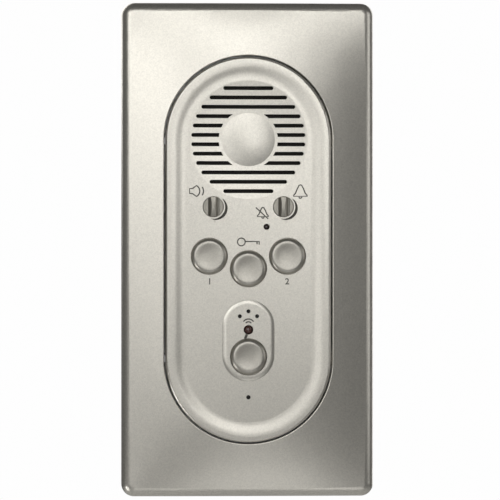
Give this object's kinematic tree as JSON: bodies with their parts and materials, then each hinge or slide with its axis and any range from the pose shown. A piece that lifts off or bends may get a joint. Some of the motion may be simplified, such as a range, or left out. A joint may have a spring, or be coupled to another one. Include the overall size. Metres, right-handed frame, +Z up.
{
  "type": "flush wall intercom",
  "caption": "Flush hands-free wall intercom: metallic cover plate, oval front with speaker grille, volume knobs, lamps and press buttons, and a housing that sinks into a double wall box.",
  "frame": {"origin": "centre of the wall box's four screws, on the wall's surface", "axes": "+Z up the wall, +Y into the wall, so the front looks along -Y; +X right, seen from the front"},
  "size_m": [0.082, 0.0295, 0.1604],
  "materials": {
    "plate_lacquer": "satin metallic lacquer",
    "fascia_lacquer": "satin metallic lacquer on moulded plastic",
    "button_lacquer": "satin metallic lacquer on moulded plastic",
    "knob_lacquer": "satin metallic lacquer on moulded plastic",
    "grille_cloth": "open black acoustic cloth",
    "dark_lens": "clear smoked lens",
    "red_lens": "tinted lens, unlit",
    "zinc_steel": "zinc-plated sheet",
    "spring_steel": "bright spring strip",
    "liner_plastic": "grey moulded",
    "housing_plastic": "fine spark-eroded texture",
    "board_laminate": "green solder mask",
    "black_plastic": "moulded",
    "white_plastic": "moulded",
    "blue_plastic": "moulded",
    "terminal_plastic": "green moulded",
    "tinned_metal": "tinned",
    "brass": "plain",
    "rubber": "matt",
    "capsule_metal": "drawn can",
    "cone_paper": "pressed pulp",
    "ferrite": "sintered",
    "coil_copper": "enamelled copper",
    "wire_jacket": "soft jacket",
    "can_sleeve": "shrunk sleeve",
    "screw_steel": "zinc-plated"
  },
  "bodies": {
    "root": {"cover_plate": "plate_lacquer", "plate_liner": "liner_plastic", "plate_clips": "spring_steel", "mounting_frame": "zinc_steel", "front_fascia": "fascia_lacquer", "talk_surround": "fascia_lacquer", "tact_switches": "black_plastic", "potentiometer_bodies": "blue_plastic", "mute_led": "dark_lens", "talk_led": "red_lens", "led_spacers": "white_plastic", "led_leads": "tinned_metal", "microphone_boot": "rubber", "microphone_capsule": "capsule_metal", "microphone_leads": "tinned_metal", "acoustic_cloth": "grille_cloth", "speaker_gasket": "rubber", "speaker_basket": "zinc_steel", "speaker_cone": "cone_paper", "speaker_dust_cap": "cone_paper", "voice_coil": "coil_copper", "speaker_top_plate": "zinc_steel", "speaker_magnet": "ferrite", "speaker_yoke": "zinc_steel", "speaker_terminals": "black_plastic", "speaker_lugs": "brass", "speaker_wires": "wire_jacket", "main_board": "board_laminate", "integrated_circuits": "black_plastic", "electrolytic_capacitors": "can_sleeve", "chip_components": "ferrite", "speaker_connector": "white_plastic", "rear_housing": "housing_plastic", "housing_screws": "screw_steel", "terminal_block": "terminal_plastic", "terminal_cages": "brass", "terminal_screws": "screw_steel"},
    "left_button": {"left_button_cap": "button_lacquer", "left_switch_plunger": "black_plastic"},
    "door_button": {"door_button_cap": "button_lacquer", "door_switch_plunger": "black_plastic"},
    "right_button": {"right_button_cap": "button_lacquer", "right_switch_plunger": "black_plastic"},
    "talk_button": {"talk_button_cap": "button_lacquer", "talk_switch_plunger": "black_plastic"},
    "speech_volume": {"speech_volume_knob": "knob_lacquer", "speech_volume_shaft": "white_plastic"},
    "ring_volume": {"ring_volume_knob": "knob_lacquer", "ring_volume_shaft": "white_plastic"}
  },
  "joints": [
    {"name": "left_press", "type": "slide", "parent": "root", "child": "left_button", "axis": [0, 1, 0], "range_m": [0, 0.0008], "stiffness_N_per_m": 1200, "springref_m": -0.0002},
    {"name": "door_press", "type": "slide", "parent": "root", "child": "door_button", "axis": [0, 1, 0], "range_m": [0, 0.0008], "stiffness_N_per_m": 1200, "springref_m": -0.0002},
    {"name": "right_press", "type": "slide", "parent": "root", "child": "right_button", "axis": [0, 1, 0], "range_m": [0, 0.0008], "stiffness_N_per_m": 1200, "springref_m": -0.0002},
    {"name": "talk_press", "type": "slide", "parent": "root", "child": "talk_button", "axis": [0, 1, 0], "range_m": [0, 0.0008], "stiffness_N_per_m": 1200, "springref_m": -0.0002},
    {"name": "speech_turn", "type": "hinge", "parent": "root", "child": "speech_volume", "pos_m": [-0.0114, -0.006, 0.0139], "axis": [0, 1, 0], "range_deg": [-140, 140]},
    {"name": "ring_turn", "type": "hinge", "parent": "root", "child": "ring_volume", "pos_m": [0.0114, -0.006, 0.0139], "axis": [0, 1, 0], "range_deg": [-140, 140]}
  ]
}
